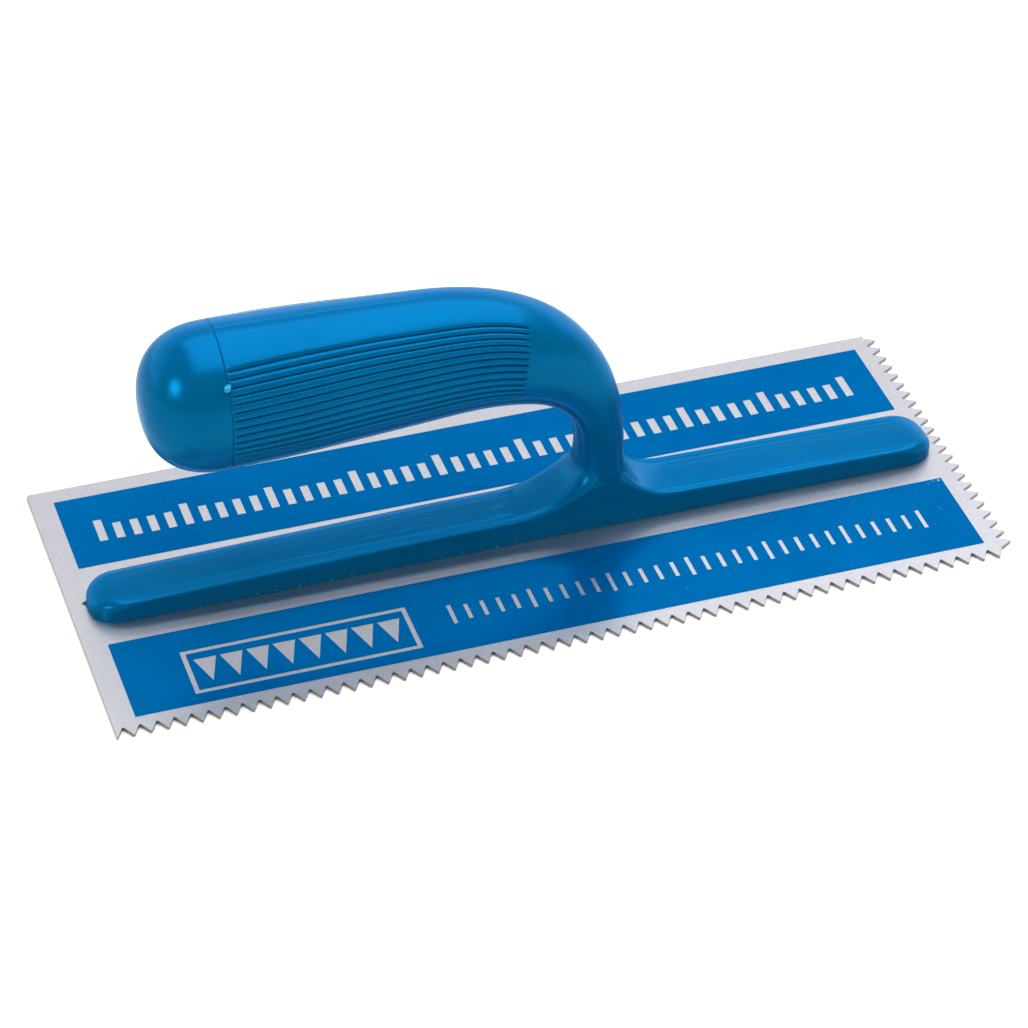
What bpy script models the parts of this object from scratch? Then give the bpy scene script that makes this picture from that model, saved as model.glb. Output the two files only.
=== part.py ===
"""Notched adhesive trowel: a toothed steel blade under a moulded handle with a capped hollow grip.

Frame: +X along the blade towards its toothed short edge, +Y towards its straight long edge, +Z up.
The origin is the middle of the blade's underside. Lengths are in metres.
"""
import math

import bmesh
import bpy
from mathutils import Vector

# Blade
BLADE_LENGTH = 0.2794
BLADE_WIDTH = 0.12065
BLADE_THICKNESS = 0.0010
TOOTH_PITCH = 0.00506
TOOTH_TIP_FLAT = 0.0003
NOTCH_ANGLE = math.radians(60)
NOTCH_ROOT_RADIUS = 0.0003
NOTCH_ROOT_STEPS = 2

# Printed panels on the blade
PANEL_THICKNESS = 0.0002
PANEL_END_MARGIN = 0.0076
PANEL_EDGE_MARGIN = 0.0068
PANEL_BAR_MARGIN = 0.0093
PRINT_SHIFT_X = -0.0005
PRINT_SHIFT_Y = 0.0005

# Mounting bar
BAR_END_MARGIN = 0.0052
BAR_WIDTH = 0.0194
BAR_SIDE_DRAFT = 0.0002
BAR_END_HEIGHT = 0.0068
BAR_MIDDLE_HEIGHT = 0.0088
BAR_CROWN = 0.0007
BAR_TOP_RADIUS = 0.0006
BAR_NOSE_LENGTH = 0.0110
BAR_NOSE_CURVE = 2.2
BAR_NOSE_STEPS = 5
BAR_TAPER_STEPS = 5
BAR_CROWN_SHARES = (0.70, 0.35)

# Post and its feet on the bar
POST_X = 0.0258
POST_DEPTH = 0.0142
POST_WIDTH = 0.0200
POST_HEIGHT = 0.0152
POST_SQUARENESS = 2.3
INNER_FOOT_REACH = 0.0260
OUTER_FOOT_REACH = 0.0175
INNER_FOOT_HEIGHT = 0.0165
OUTER_FOOT_HEIGHT = 0.0125
FOOT_SQUARENESS = 5.0
FOOT_CURVE = 2.4
FOOT_STEPS = 6
FOOT_SINK = 0.0035

# Grip
GRIP_LENGTH = 0.0615
GRIP_HEIGHT = 0.0470
GRIP_WIDTH = 0.0402
FINGER_ROOM = 0.0367
BEND_REACH = 0.0558
BEND_CURVE = 2.4
BEND_FINENESS = 400
GRIP_STEPS = 8
BEND_STEPS = 12
SECTION_SQUARENESS = 2.0

# How far the section has gone from the grip's size to the post's, along the way from the cap to the
# post's foot: (share of the way, share of the height's change, share of the width's change)
TAPER = (
    (0.00, 0.00, 0.00),
    (0.13, 0.04, 0.03),
    (0.29, 0.11, 0.26),
    (0.45, 0.21, 0.45),
    (0.59, 0.42, 0.60),
    (0.71, 0.72, 0.78),
    (0.82, 0.95, 0.92),
    (0.91, 1.00, 1.00),
    (1.00, 1.00, 1.00),
)

# Grooves along both flanks of the grip
GROOVE_COUNT = 12
GROOVE_DEPTH = 0.0006
GROOVE_FIRST_ANGLE = math.radians(42)
GROOVE_LAST_ANGLE = math.radians(120)
GROOVE_START = 0.0015
GROOVE_RUN_IN = 0.0025
GROOVES_PAST_BEND_START = 0.0300
SMOOTH_STRIP_STEPS = 8

# Hollow grip and its cap
GRIP_WALL = 0.0030
BORE_TAPER = 0.0045
BORE_PAST_BEND_START = 0.0120
BORE_END_ROUNDING = 0.0060
BORE_END_SWEEP = math.radians(80)
BORE_END_STEPS = 3
CAP_LENGTH = 0.0229
CAP_CURVE = 2.45
CAP_WALL = 0.0028
CAP_STEPS = 7
CAP_FLAT_STEP = 0.5
SPIGOT_LENGTH = 0.0110
SPIGOT_WALL = 0.0022
CAP_SEGMENTS = 32

# Rivets driven up through the blade into the bar
RIVET_COUNT = 6
RIVET_END_INSET = 0.0150
RIVET_RADIUS = 0.0016
RIVET_HEAD_RADIUS = 0.0029
RIVET_HEAD_DEPTH = 0.0007
RIVET_HEAD_RECESS = 0.00005
RIVET_GRIP_DEPTH = 0.0048
RIVET_POINT = 0.0005
RIVET_SIDES = 16

GAP = 0.0003          # between touching pieces
MERGE = 0.00001       # weld distance
PAST = 0.0020         # how far a cutter passes the face it opens

HALF_LENGTH = BLADE_LENGTH / 2
HALF_WIDTH = BLADE_WIDTH / 2
BAR_BASE_Z = BLADE_THICKNESS + GAP
BAR_TOP_Z = BLADE_THICKNESS + BAR_MIDDLE_HEIGHT
BAR_HALF_LENGTH = HALF_LENGTH - BAR_END_MARGIN
GRIP_AXIS_Z = BAR_TOP_Z + FINGER_ROOM + GRIP_HEIGHT / 2
BEND_START_X = POST_X - BEND_REACH
SEAM_X = BEND_START_X - GRIP_LENGTH
BEND_FOOT_Z = BAR_TOP_Z + POST_HEIGHT
BEND_DROP = GRIP_AXIS_Z - BEND_FOOT_Z

BLUE_PLASTIC = (0.006, 0.10, 0.36)
BLUE_INK = (0.003, 0.11, 0.42)
PLATE_STEEL = (0.62, 0.61, 0.60)
RIVET_STEEL = (0.50, 0.50, 0.52)


def clear_scene():
    for thing in list(bpy.data.objects):
        bpy.data.objects.remove(thing, do_unlink=True)


def make_collection(name):
    collection = bpy.data.collections.new(name)
    bpy.context.scene.collection.children.link(collection)
    return collection


def make_material(name, colour, roughness, metallic):
    material = bpy.data.materials.new(name)
    material.use_nodes = True
    shader = material.node_tree.nodes["Principled BSDF"]
    shader.inputs["Base Color"].default_value = (*colour, 1.0)
    shader.inputs["Roughness"].default_value = roughness
    shader.inputs["Metallic"].default_value = metallic
    return material


def add_object(name, mesh, collection, material=None):
    thing = bpy.data.objects.new(name, mesh)
    collection.objects.link(thing)
    if material:
        mesh.materials.append(material)
    return thing


def hide_tool(tool):
    tool.hide_render = True
    tool.display_type = "WIRE"


def boolean(thing, tool, operation):
    modifier = thing.modifiers.new(f"{operation.lower()} {tool.name}", "BOOLEAN")
    modifier.operation = operation
    modifier.object = tool
    modifier.solver = "EXACT"


def smooth(mesh, degrees=35):
    mesh.shade_smooth()
    mesh.set_sharp_from_angle(angle=math.radians(degrees))


def loft(name, rings):
    """A closed mesh through rings of points, with a flat face on the first ring and on the last."""
    shape = bmesh.new()
    loops = [[shape.verts.new(point) for point in ring] for ring in rings]
    count = len(rings[0])
    for near, far in zip(loops, loops[1:]):
        for i in range(count):
            j = (i + 1) % count
            shape.faces.new((near[i], near[j], far[j], far[i]))
    shape.faces.new(loops[0])
    shape.faces.new(loops[-1])
    bmesh.ops.recalc_face_normals(shape, faces=shape.faces)
    mesh = bpy.data.meshes.new(name)
    shape.to_mesh(mesh)
    shape.free()
    smooth(mesh)
    return mesh


def turned(name, outline, collection, material=None):
    """A turned solid about Z: outline is (radius, height) from the top of the axis to the bottom."""
    mesh = bpy.data.meshes.new(name)
    points = [(radius, 0.0, height) for radius, height in outline]
    edges = [(i, i + 1) for i in range(len(points) - 1)]
    mesh.from_pydata(points, edges, [])
    thing = add_object(name, mesh, collection, material)
    screw = thing.modifiers.new("turn", "SCREW")
    screw.steps = RIVET_SIDES
    screw.render_steps = RIVET_SIDES
    screw.use_merge_vertices = True
    screw.merge_threshold = MERGE
    return thing


def smoothstep(share):
    share = min(1.0, max(0.0, share))
    return share * share * (3 - 2 * share)


def read_table(table, column, at):
    """Value of a column of the table, on a smooth curve through its rows."""
    last = len(table) - 1
    row = 0
    while row < last - 1 and at > table[row + 1][0]:
        row += 1
    slopes = []
    for i in (row, row + 1):
        low = table[max(0, i - 1)]
        high = table[min(last, i + 1)]
        slopes.append((high[column] - low[column]) / (high[0] - low[0]))
    here, there = table[row], table[row + 1]
    span = there[0] - here[0]
    t = (at - here[0]) / span
    start = (2 * t**3 - 3 * t**2 + 1) * here[column]
    end = (3 * t**2 - 2 * t**3) * there[column]
    leave = (t**3 - 2 * t**2 + t) * span * slopes[0]
    arrive = (t**3 - t**2) * span * slopes[1]
    return start + end + leave + arrive


def superellipse(angle, power):
    """Point of the unit superellipse, with angle 0 on its second axis."""
    side = math.sin(angle)
    up = math.cos(angle)
    share = 2 / power
    return math.copysign(abs(side) ** share, side), math.copysign(abs(up) ** share, up)


# ---------------------------------------------------------------- blade

def notch_profile(length):
    """Points (distance along the edge, depth) of a toothed edge from a tip's centre to length."""
    steepness = 1 / math.tan(NOTCH_ANGLE / 2)
    sharp_depth = (TOOTH_PITCH - TOOTH_TIP_FLAT) / 2 * steepness
    root_rise = NOTCH_ROOT_RADIUS * (1 / math.sin(NOTCH_ANGLE / 2) - 1)
    arc_centre = sharp_depth - root_rise - NOTCH_ROOT_RADIUS
    swing = math.pi / 2 - NOTCH_ANGLE / 2
    points = [(0.0, 0.0)]
    tooth = 0
    while points[-1][0] < length:
        tip = tooth * TOOTH_PITCH
        points.append((tip + TOOTH_TIP_FLAT / 2, 0.0))
        for step in range(NOTCH_ROOT_STEPS + 1):
            turn = swing * (2 * step / NOTCH_ROOT_STEPS - 1)
            along = tip + TOOTH_PITCH / 2 + NOTCH_ROOT_RADIUS * math.sin(turn)
            points.append((along, arc_centre + NOTCH_ROOT_RADIUS * math.cos(turn)))
        points.append((tip + TOOTH_PITCH - TOOTH_TIP_FLAT / 2, 0.0))
        tooth += 1
    inside = [point for point in points if point[0] < length - MERGE]
    before = inside[-1]
    after = points[len(inside)]
    share = (length - before[0]) / (after[0] - before[0])
    inside.append((length, before[1] + share * (after[1] - before[1])))
    return inside


def blade_outline():
    """Outline of the blade, from its back left corner round past both toothed edges."""
    teeth_along = math.floor(BLADE_LENGTH / TOOTH_PITCH - 1.0)
    last_tip = teeth_along * TOOTH_PITCH + TOOTH_TIP_FLAT / 2
    corner = BLADE_LENGTH - last_tip + TOOTH_TIP_FLAT / 2
    front = notch_profile(last_tip)
    side = notch_profile(BLADE_WIDTH - corner)
    flank_slope = 1 / math.tan(NOTCH_ANGLE / 2)
    flank = corner - TOOTH_TIP_FLAT / 2
    corner_in = flank * (flank_slope - 1) / (flank_slope**2 - 1)
    outline = [(-HALF_LENGTH, HALF_WIDTH)]
    for along, depth in front:
        outline.append((-HALF_LENGTH + along, -HALF_WIDTH + depth))
    inner_x = -HALF_LENGTH + last_tip + corner_in
    outline.append((inner_x, -HALF_WIDTH + corner_in * flank_slope))
    outline.append((HALF_LENGTH, -HALF_WIDTH + corner - TOOTH_TIP_FLAT / 2))
    for along, depth in side[1:]:
        outline.append((HALF_LENGTH - depth, -HALF_WIDTH + corner + along))
    return outline


def flat_plate(name, outline, thickness, collection, material):
    """A plate cut from a filled 2D curve, standing on Z = 0."""
    curve = bpy.data.curves.new(name, "CURVE")
    curve.dimensions = "2D"
    curve.fill_mode = "BOTH"
    curve.extrude = thickness / 2
    spline = curve.splines.new("POLY")
    spline.points.add(len(outline) - 1)
    for point, (x, y) in zip(spline.points, outline):
        point.co = (x, y, 0.0, 1.0)
    spline.use_cyclic_u = True
    drawn = bpy.data.objects.new(f"{name} outline", curve)
    bpy.context.scene.collection.objects.link(drawn)
    bpy.context.view_layer.update()
    evaluated = drawn.evaluated_get(bpy.context.evaluated_depsgraph_get())
    mesh = bpy.data.meshes.new_from_object(evaluated)
    bpy.data.objects.remove(drawn, do_unlink=True)
    mesh.name = name
    shape = bmesh.new()
    shape.from_mesh(mesh)
    bmesh.ops.remove_doubles(shape, verts=shape.verts, dist=MERGE)
    bmesh.ops.recalc_face_normals(shape, faces=shape.faces)
    bmesh.ops.translate(shape, verts=shape.verts, vec=Vector((0, 0, thickness / 2)))
    shape.to_mesh(mesh)
    shape.free()
    return add_object(name, mesh, collection, material)


def make_blade(parts, tools, material):
    blade = flat_plate("blade", blade_outline(), BLADE_THICKNESS, parts, material)
    hole = RIVET_RADIUS + GAP
    mouth = RIVET_HEAD_RADIUS + GAP
    for i, x in enumerate(rivet_places(), start=1):
        outline = [
            (0.0, BLADE_THICKNESS + PAST),
            (hole, BLADE_THICKNESS + PAST),
            (hole, RIVET_HEAD_DEPTH),
            (mouth, 0.0),
            (mouth, -PAST),
            (0.0, -PAST),
        ]
        cutter = turned(f"blade_hole_{i}", outline, tools)
        cutter.location.x = x
        hide_tool(cutter)
        boolean(blade, cutter, "DIFFERENCE")
    return blade


def make_panel(name, side, parts, material):
    """Printed panel on one side of the bar: side is -1 for the front and 1 for the rear."""
    length = BLADE_LENGTH - 2 * PANEL_END_MARGIN
    near = BAR_WIDTH / 2 + PANEL_BAR_MARGIN
    far = HALF_WIDTH - PANEL_EDGE_MARGIN
    shape = bmesh.new()
    bmesh.ops.create_cube(shape, size=1.0)
    bmesh.ops.scale(shape, verts=shape.verts, vec=Vector((length, far - near, PANEL_THICKNESS)))
    mesh = bpy.data.meshes.new(name)
    shape.to_mesh(mesh)
    shape.free()
    panel = add_object(name, mesh, parts, material)
    panel.location.x = PRINT_SHIFT_X
    panel.location.y = side * (near + far) / 2 + PRINT_SHIFT_Y
    panel.location.z = BLADE_THICKNESS + GAP + PANEL_THICKNESS / 2
    return panel


# ---------------------------------------------------------------- handle

def bar_section(x):
    """Upright ring round the bar at one place along it."""
    from_nose = BAR_HALF_LENGTH - abs(x)
    inward = min(1.0, max(0.0, from_nose / BAR_NOSE_LENGTH))
    nose = (1 - (1 - inward) ** BAR_NOSE_CURVE) ** (1 / BAR_NOSE_CURVE)
    to_post = max(0.0, abs(x) - POST_X) / (BAR_HALF_LENGTH - POST_X)
    rise = 1 - min(1.0, to_post)
    height = BAR_END_HEIGHT + (BAR_MIDDLE_HEIGHT - BAR_END_HEIGHT) * rise
    top = BLADE_THICKNESS + height * nose
    shoulder = top - BAR_CROWN * nose
    corner = BAR_TOP_RADIUS * nose
    cut = corner * (1 - math.sqrt(0.5))
    base_half = BAR_WIDTH / 2 * nose
    top_half = base_half - BAR_SIDE_DRAFT * nose
    half_ring = [
        (base_half, BAR_BASE_Z),
        (top_half, max(BAR_BASE_Z + MERGE * 2, shoulder - corner)),
        (top_half - cut, shoulder - cut),
        (top_half - corner, shoulder),
    ]
    for share in BAR_CROWN_SHARES:
        half_ring.append((top_half * share, top - (top - shoulder) * share**2))
    rear = [Vector((x, y, z)) for y, z in half_ring]
    front = [Vector((x, -y, z)) for y, z in reversed(half_ring)]
    return rear + [Vector((x, 0.0, top))] + front


def bar_stations():
    """Places along the bar, closer together round each nose."""
    flat_half = BAR_HALF_LENGTH - BAR_NOSE_LENGTH
    places = [POST_X + (flat_half - POST_X) * i / BAR_TAPER_STEPS for i in range(BAR_TAPER_STEPS)]
    for i in range(1, BAR_NOSE_STEPS + 1):
        turn = math.pi / 2 * i / BAR_NOSE_STEPS
        places.append(BAR_HALF_LENGTH - BAR_NOSE_LENGTH * (1 - math.cos(turn)))
    return sorted([-x for x in places] + places)


def section_angles():
    """Angles round a grip section, from its top: a crest and a valley for each groove."""
    pitch = (GROOVE_LAST_ANGLE - GROOVE_FIRST_ANGLE) / (GROOVE_COUNT - 1)
    first = GROOVE_FIRST_ANGLE - pitch / 2
    last = GROOVE_LAST_ANGLE + pitch / 2
    angles = [(2 * first * i / SMOOTH_STRIP_STEPS - first, 0.0) for i in range(1, SMOOTH_STRIP_STEPS)]
    for i in range(GROOVE_COUNT):
        angles.append((first + pitch * i, 0.0))
        angles.append((first + pitch * (i + 0.5), 1.0))
    under = 2 * (math.pi - last)
    for i in range(SMOOTH_STRIP_STEPS + 1):
        angles.append((last + under * i / SMOOTH_STRIP_STEPS, 0.0))
    turn = 2 * math.pi
    for i in range(GROOVE_COUNT):
        angles.append((turn - last + pitch * (i + 0.5), 1.0))
        angles.append((turn - last + pitch * (i + 1.0), 0.0))
    return angles


def bend_points():
    """Points (distance from the seam, x, z) close together along the centre line of the bend."""
    points = [(GRIP_LENGTH, BEND_START_X, GRIP_AXIS_Z)]
    for i in range(1, BEND_FINENESS + 1):
        side, up = superellipse(math.pi / 2 * i / BEND_FINENESS, BEND_CURVE)
        x = BEND_START_X + BEND_REACH * side
        z = BEND_FOOT_Z + BEND_DROP * up
        travelled, old_x, old_z = points[-1]
        points.append((travelled + math.hypot(x - old_x, z - old_z), x, z))
    return points


def path_point(along, bend):
    """Point (x, z) of the grip's centre line and its direction, at a distance from the seam."""
    if along <= GRIP_LENGTH:
        return (SEAM_X + along, GRIP_AXIS_Z), (1.0, 0.0)
    i = 1
    while i < BEND_FINENESS and bend[i][0] < along:
        i += 1
    near, far = bend[i - 1], bend[i]
    step = far[0] - near[0]
    return (far[1], far[2]), ((far[1] - near[1]) / step, (far[2] - near[2]) / step)


def grip_section(along, way, bend, angles):
    """Ring round the grip or the bend, square to the centre line, with its grooves."""
    (x, z), (dir_x, dir_z) = path_point(along, bend)
    share = along / way
    half_height = GRIP_HEIGHT / 2 + (POST_DEPTH - GRIP_HEIGHT) / 2 * read_table(TAPER, 1, share)
    half_width = GRIP_WIDTH / 2 + (POST_WIDTH - GRIP_WIDTH) / 2 * read_table(TAPER, 2, share)
    power = SECTION_SQUARENESS + (POST_SQUARENESS - SECTION_SQUARENESS) * smoothstep(share)
    groove_end = GRIP_LENGTH + GROOVES_PAST_BEND_START
    run_in = smoothstep((along - GROOVE_START) / GROOVE_RUN_IN)
    run_out = smoothstep((groove_end - along) / GROOVE_RUN_IN)
    depth = GROOVE_DEPTH * min(run_in, run_out)
    ring = []
    for angle, valley in angles:
        side, up = superellipse(angle, power)
        across = side * (half_width - depth * valley)
        rise = up * (half_height - depth * valley)
        ring.append(Vector((x - dir_z * rise, across, z + dir_x * rise)))
    return ring


def foot_section(z, angles):
    """Level ring round the foot of the post, at a height."""
    def spread(reach, height):
        drop = min(1.0, max(0.0, (BAR_TOP_Z + height - z) / height))
        return reach * (1 - (1 - drop**FOOT_CURVE) ** (1 / FOOT_CURVE))

    inner = POST_X - POST_DEPTH / 2 - spread(INNER_FOOT_REACH, INNER_FOOT_HEIGHT)
    outer = POST_X + POST_DEPTH / 2 + spread(OUTER_FOOT_REACH, OUTER_FOOT_HEIGHT)
    low = smoothstep((BEND_FOOT_Z - z) / POST_HEIGHT)
    half_width = POST_WIDTH / 2 + (BAR_WIDTH / 2 - BAR_SIDE_DRAFT - MERGE - POST_WIDTH / 2) * low
    power = POST_SQUARENESS + (FOOT_SQUARENESS - POST_SQUARENESS) * low
    ring = []
    for angle, _ in angles:
        side, up = superellipse(angle, power)
        reach = outer - POST_X if up > 0 else POST_X - inner
        ring.append(Vector((POST_X + up * reach, side * half_width, z)))
    return ring


def grip_rings():
    """Rings of the grip, bend and post, from the seam to inside the bar."""
    angles = section_angles()
    bend = bend_points()
    bend_length = bend[-1][0] - GRIP_LENGTH
    way = GRIP_LENGTH + bend_length + POST_HEIGHT
    grooves_in = GROOVE_START + GROOVE_RUN_IN
    groove_end = GRIP_LENGTH + GROOVES_PAST_BEND_START
    places = [0.0, GROOVE_START, groove_end - GROOVE_RUN_IN, groove_end]
    places += [grooves_in + (GRIP_LENGTH - grooves_in) * i / GRIP_STEPS for i in range(GRIP_STEPS + 1)]
    places += [GRIP_LENGTH + bend_length * i / BEND_STEPS for i in range(1, BEND_STEPS)]
    rings = [grip_section(along, way, bend, angles) for along in sorted(places)]
    for i in range(FOOT_STEPS + 1):
        fall = math.sin(math.pi / 2 * i / FOOT_STEPS)
        rings.append(foot_section(BEND_FOOT_Z - POST_HEIGHT * fall, angles))
    rings.append([point - Vector((0, 0, FOOT_SINK)) for point in rings[-1]])
    return rings


def bore_half_sizes(depth):
    """Half width and half height of the grip's tapered bore, at a depth from the seam."""
    full_depth = GRIP_LENGTH + BORE_PAST_BEND_START
    draft = BORE_TAPER * depth / full_depth
    return GRIP_WIDTH / 2 - GRIP_WALL - draft, GRIP_HEIGHT / 2 - GRIP_WALL - draft


def oval_ring(x, half_width, half_height):
    """Upright oval ring round the grip's axis."""
    ring = []
    for i in range(CAP_SEGMENTS):
        side, up = superellipse(2 * math.pi * i / CAP_SEGMENTS, SECTION_SQUARENESS)
        ring.append(Vector((x, side * half_width, GRIP_AXIS_Z + up * half_height)))
    return ring


def make_handle(parts, tools, material):
    handle = add_object("handle", loft("handle", grip_rings()), parts, material)
    bar = add_object("mounting_bar", loft("mounting_bar", [bar_section(x) for x in bar_stations()]), tools)
    hide_tool(bar)
    boolean(handle, bar, "UNION")

    mouth = bore_half_sizes(0.0)
    rings = [oval_ring(SEAM_X - PAST, *mouth), oval_ring(SEAM_X, *mouth)]
    straight = GRIP_LENGTH + BORE_PAST_BEND_START - BORE_END_ROUNDING
    end_width, end_height = bore_half_sizes(straight)
    for i in range(BORE_END_STEPS + 1):
        turn = BORE_END_SWEEP * i / BORE_END_STEPS
        shrink = BORE_END_ROUNDING * (1 - math.cos(turn))
        x = SEAM_X + straight + BORE_END_ROUNDING * math.sin(turn)
        rings.append(oval_ring(x, end_width - shrink, end_height - shrink))
    bore = add_object("grip_bore", loft("grip_bore", rings), tools)
    hide_tool(bore)
    boolean(handle, bore, "DIFFERENCE")

    hole = RIVET_RADIUS + GAP
    hole_top = BLADE_THICKNESS + RIVET_GRIP_DEPTH + GAP
    for i, x in enumerate(rivet_places(), start=1):
        outline = [(0.0, hole_top), (hole, hole_top), (hole, 0.0), (0.0, 0.0)]
        cutter = turned(f"bar_hole_{i}", outline, tools)
        cutter.location.x = x
        hide_tool(cutter)
        boolean(handle, cutter, "DIFFERENCE")
    return handle


def make_cap(parts, material):
    """Domed cap with a sleeve that enters the grip's bore, hollow right through to its dome."""
    rim_x = SEAM_X - GAP
    spigot_width, spigot_height = (half - GAP for half in bore_half_sizes(SPIGOT_LENGTH))
    rings = []
    for step in (CAP_FLAT_STEP, *range(1, CAP_STEPS)):
        out, round_in = superellipse(math.pi / 2 * (1 - step / CAP_STEPS), CAP_CURVE)
        x = rim_x - CAP_LENGTH * out
        rings.append(oval_ring(x, GRIP_WIDTH / 2 * round_in, GRIP_HEIGHT / 2 * round_in))
    rings.append(oval_ring(rim_x, GRIP_WIDTH / 2, GRIP_HEIGHT / 2))
    rings.append(oval_ring(rim_x, spigot_width, spigot_height))
    rings.append(oval_ring(SEAM_X + SPIGOT_LENGTH, spigot_width, spigot_height))
    inner_width = spigot_width - SPIGOT_WALL
    inner_height = spigot_height - SPIGOT_WALL
    rings.append(oval_ring(SEAM_X + SPIGOT_LENGTH, inner_width, inner_height))
    for i in range(CAP_STEPS):
        out, round_in = superellipse(math.pi / 2 * i / CAP_STEPS, CAP_CURVE)
        x = rim_x - (CAP_LENGTH - CAP_WALL) * out
        rings.append(oval_ring(x, inner_width * round_in, inner_height * round_in))
    return add_object("grip_end_cap", loft("grip_end_cap", rings), parts, material)


# ---------------------------------------------------------------- rivets

def rivet_places():
    first = RIVET_END_INSET - BAR_HALF_LENGTH
    pitch = -2 * first / (RIVET_COUNT - 1)
    return [first + pitch * i for i in range(RIVET_COUNT)]


def make_rivet(name, x, parts, material):
    tip = BLADE_THICKNESS + RIVET_GRIP_DEPTH
    outline = [
        (0.0, tip),
        (RIVET_RADIUS - RIVET_POINT, tip),
        (RIVET_RADIUS, tip - RIVET_POINT),
        (RIVET_RADIUS, RIVET_HEAD_DEPTH + RIVET_HEAD_RECESS),
        (RIVET_HEAD_RADIUS, RIVET_HEAD_RECESS),
        (0.0, RIVET_HEAD_RECESS),
    ]
    rivet = turned(name, outline, parts, material)
    rivet.location.x = x
    return rivet


def main():
    clear_scene()
    parts = make_collection("notched_trowel")
    tools = make_collection("cutters")
    steel = make_material("plate_steel", PLATE_STEEL, 0.35, 1.0)
    plastic = make_material("blue_plastic", BLUE_PLASTIC, 0.25, 0.0)
    ink = make_material("blue_ink", BLUE_INK, 0.45, 0.0)
    rivet_steel = make_material("rivet_steel", RIVET_STEEL, 0.40, 1.0)
    make_blade(parts, tools, steel)
    make_handle(parts, tools, plastic)
    make_cap(parts, plastic)
    make_panel("front_panel", -1, parts, ink)
    make_panel("rear_panel", 1, parts, ink)
    for i, x in enumerate(rivet_places(), start=1):
        make_rivet(f"mounting_rivet_{i}", x, parts, rivet_steel)


main()
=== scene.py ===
"""Looks of the notched trowel: moulded plastic handle, domed end cap, printed panels, ground steel blade."""
import math

import bmesh
import bpy
from mathutils import Matrix, Vector, noise


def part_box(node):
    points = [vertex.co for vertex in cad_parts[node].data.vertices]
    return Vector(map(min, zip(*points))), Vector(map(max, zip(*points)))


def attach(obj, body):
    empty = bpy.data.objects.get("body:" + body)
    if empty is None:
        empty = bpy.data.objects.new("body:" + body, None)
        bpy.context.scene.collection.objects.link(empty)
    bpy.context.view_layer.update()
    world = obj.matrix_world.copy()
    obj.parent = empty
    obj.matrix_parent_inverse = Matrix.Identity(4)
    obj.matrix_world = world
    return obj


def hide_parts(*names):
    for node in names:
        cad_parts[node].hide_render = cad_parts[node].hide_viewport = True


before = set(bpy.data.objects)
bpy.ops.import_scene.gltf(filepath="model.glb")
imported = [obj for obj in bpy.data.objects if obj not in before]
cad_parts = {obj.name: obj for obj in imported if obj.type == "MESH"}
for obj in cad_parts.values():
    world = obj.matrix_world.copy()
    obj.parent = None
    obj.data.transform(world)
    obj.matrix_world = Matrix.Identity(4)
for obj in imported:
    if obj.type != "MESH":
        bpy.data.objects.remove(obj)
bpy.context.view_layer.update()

_, BLADE_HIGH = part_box("blade")
_, HANDLE_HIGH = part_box("handle")
RIVETS = [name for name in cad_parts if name.startswith("mounting_rivet")]

BLADE_TOP = BLADE_HIGH.z
GAP = 0.0003                       # between touching pieces of the CAD
CREASE_ANGLE = math.radians(38)    # a sharper fold is shaded as an edge

# Mounting bar
NOSE_TIP_CUT = 0.0004              # how much of a nose's tip the CAD leaves off
BAR_HALF_LENGTH = HANDLE_HIGH.x + NOSE_TIP_CUT
BAR_BASE_Z = BLADE_TOP + GAP / 3
BAR_HALF_WIDTH = 0.0097
BAR_END_HEIGHT = 0.0068
BAR_MIDDLE_HEIGHT = 0.0088
BAR_CROWN = 0.0007
BAR_NOSE_LENGTH = 0.0110
BAR_NOSE_CURVE = 2.3
BAR_NOSE_TOP_LENGTH = 0.0095
BAR_NOSE_WALL = 0.30
BAR_FRONT_EDGE = 0.0006
BAR_NOSE_EDGE = 0.0034
BAR_EDGE_RUN_OUT = 0.0180
BAR_REAR_EDGE = (0.0046, 0.0016)   # left of the post and right of it
BAR_REAR_FALL = (0.0022, 0.0011)
BAR_REAR_CHANGE = (-0.01, 0.05)    # where the change between the two starts, and how long it takes
BAR_REAR_STEPS = 24
BAR_TOP_STEPS = 80
BAR_FRONT_STEPS = 12
BAR_NOSE_STEPS = 26
BAR_HALF_STEPS = 46
BAR_TOP_Z = BLADE_TOP + BAR_MIDDLE_HEIGHT

# Drag lines on the bar's top: distance from its rear edge, height and half-width of each. DRAG_HEIGHT is for
# the finer streaks between them.
LEFT_RIDGES = (
    (0.0020, 0.00012, 0.00028),
    (0.0030, 0.00010, 0.00025),
    (0.0041, 0.00022, 0.00035),
    (0.0052, 0.00011, 0.00028),
    (0.0066, 0.00008, 0.00025),
)
RIGHT_RIDGES = ((0.0021, 0.00060, 0.00045), (0.0034, 0.00012, 0.00030), (0.0050, 0.00009, 0.00030))
DRAG_HEIGHT = 0.000045
RELIEF_MARGIN = 0.0015
RELIEF_END = (0.006, 0.01)         # free length at each nose, and the length over which the relief starts

# Ring left by an ejector pin: place, radius, height and half-width
RING_MARK = (-0.0070, -0.0030, 0.0021)
RING_HEIGHT = 0.00010
RING_WIDTH = 0.00030

# Half-round witness mark on the post's front, over its foot: place, radius and half-thickness
WITNESS_PLACE = (0.0234, -0.0098, 0.0150)
WITNESS_RADIUS = 0.0024
WITNESS_THICKNESS = 0.00034
WITNESS_STEPS = 40
WITNESS_SIDES = 10

# Flash round the base of the left nose, with spikes: step, half-width in steps and reach of each
FLASH_STEPS = 72
FLASH_REACH = 0.00035
FLASH_SPIKES = ((41, 1.6, 0.0011), (24, 1.2, 0.00055))
FLASH_HEIGHT = 0.00040
FLASH_EDGE_HEIGHT = 0.00004
FLASH_INSET = 0.0006

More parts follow.
